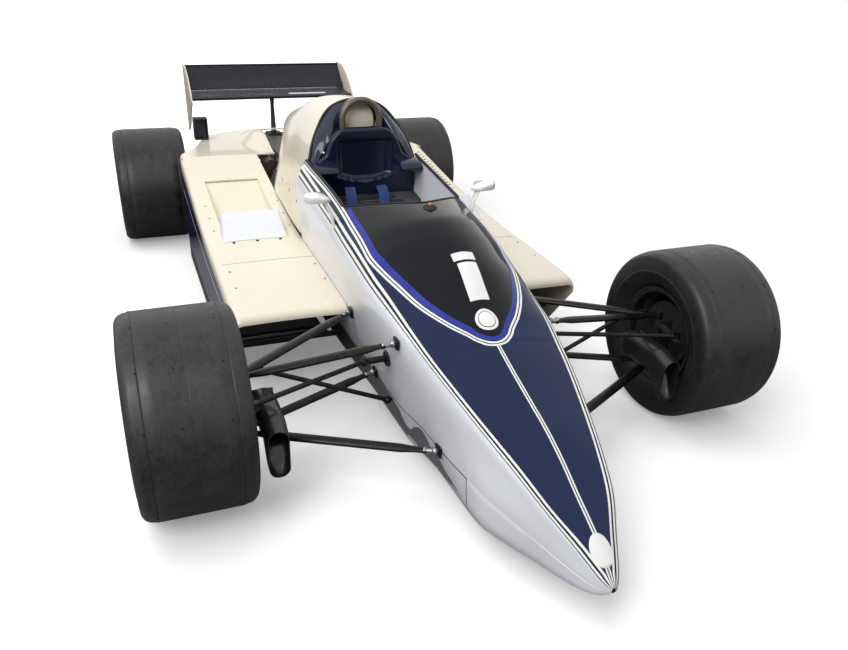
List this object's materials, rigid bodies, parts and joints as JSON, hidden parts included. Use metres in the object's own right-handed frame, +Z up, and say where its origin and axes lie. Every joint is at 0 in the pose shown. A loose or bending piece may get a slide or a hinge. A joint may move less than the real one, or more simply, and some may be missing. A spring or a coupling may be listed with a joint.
{
  "type": "open wheel racing car",
  "caption": "Single seat open wheel racing car with side pods, low screen, roll hoop, slick tyres and a rear wing; its wheels roll and its front wheels steer.",
  "frame": {"origin": "on the ground, under the middle of the car's length and width", "axes": "+Z up, +Y toward the rear wing, +X toward the car's left side"},
  "size_m": [2.127, 4.344, 1.007],
  "materials": {
    "bare_aluminium": "satin",
    "body_paint": "gloss",
    "navy_paint": "gloss",
    "wing_paint": "gloss",
    "smoked_screen": "gloss",
    "black_panel": "satin",
    "seat_pad": "matte",
    "hoop_finish": "satin",
    "radiator_core": "matte",
    "cast_metal": "matte",
    "exhaust_steel": "matte",
    "arm_steel": "satin",
    "shaft_steel": "satin",
    "wheel_grip": "matte",
    "rim_metal": "satin",
    "tyre_rubber": "matte"
  },
  "bodies": {
    "chassis": {"monocoque": "bare_aluminium", "nose_cowl": "body_paint", "cockpit_cowl": "body_paint", "windscreen": "smoked_screen", "dashboard": "black_panel", "seat": "seat_pad", "headrest": "navy_paint", "roll_hoop": "hoop_finish", "engine_cover": "body_paint", "rear_deck": "body_paint", "sidepod_left": "body_paint", "sidepod_right": "body_paint", "radiators": "radiator_core", "radiator_flaps": "body_paint", "skirts": "black_panel", "underfloor": "black_panel", "mirrors": "body_paint", "oil_cooler_scoop": "black_panel", "engine": "cast_metal", "gearbox": "cast_metal", "exhaust": "exhaust_steel", "rear_wing": "wing_paint", "rear_wing_flap": "wing_paint", "wing_endplates": "body_paint", "wing_post": "black_panel", "front_upper_wishbones": "arm_steel", "front_lower_wishbones": "arm_steel", "front_pull_rods": "arm_steel", "rear_wishbones": "arm_steel", "rear_uprights": "cast_metal", "drive_shafts": "shaft_steel"},
    "steering_wheel_body": {"steering_wheel": "wheel_grip"},
    "rack_body": {"steering_rack": "arm_steel"},
    "knuckle_left": {"front_upright_left": "cast_metal", "brake_duct_left": "black_panel"},
    "knuckle_right": {"front_upright_right": "cast_metal", "brake_duct_right": "black_panel"},
    "wheel_front_left": {"rim_front_left": "rim_metal", "tyre_front_left": "tyre_rubber"},
    "wheel_front_right": {"rim_front_right": "rim_metal", "tyre_front_right": "tyre_rubber"},
    "wheel_rear_left": {"rim_rear_left": "rim_metal", "tyre_rear_left": "tyre_rubber"},
    "wheel_rear_right": {"rim_rear_right": "rim_metal", "tyre_rear_right": "tyre_rubber"}
  },
  "joints": [
    {"name": "steer_left", "type": "hinge", "parent": "chassis", "child": "knuckle_left", "pos_m": [0.7575, -1.28, 0.305], "axis": [0, 0, 1], "range_deg": [-16, 16]},
    {"name": "steer_right", "type": "hinge", "parent": "chassis", "child": "knuckle_right", "pos_m": [-0.7575, -1.28, 0.305], "axis": [0, 0, 1], "range_deg": [-16, 16]},
    {"name": "rack_travel", "type": "slide", "parent": "chassis", "child": "rack_body", "axis": [1, 0, 0], "range_m": [-0.042, 0.042]},
    {"name": "steering_wheel_turn", "type": "hinge", "parent": "chassis", "child": "steering_wheel_body", "pos_m": [0, -0.81, 0.588], "axis": [0, 0.9397, 0.342], "range_deg": [-145, 145]},
    {"name": "spin_front_left", "type": "hinge", "parent": "knuckle_left", "child": "wheel_front_left", "pos_m": [0.8975, -1.28, 0.305], "axis": [1, 0, 0], "continuous": true},
    {"name": "spin_front_right", "type": "hinge", "parent": "knuckle_right", "child": "wheel_front_right", "pos_m": [-0.8975, -1.28, 0.305], "axis": [1, 0, 0], "continuous": true},
    {"name": "spin_rear_left", "type": "hinge", "parent": "chassis", "child": "wheel_rear_left", "pos_m": [0.8275, 1.46, 0.32], "axis": [1, 0, 0], "continuous": true},
    {"name": "spin_rear_right", "type": "hinge", "parent": "chassis", "child": "wheel_rear_right", "pos_m": [-0.8275, 1.46, 0.32], "axis": [1, 0, 0], "continuous": true}
  ],
  "couplings": [
    {"joint": "steer_right", "follows": "steer_left", "ratio": 1},
    {"joint": "rack_travel", "follows": "steer_left", "m_per_rad": 0.148},
    {"joint": "steering_wheel_turn", "follows": "steer_left", "ratio": 9}
  ]
}
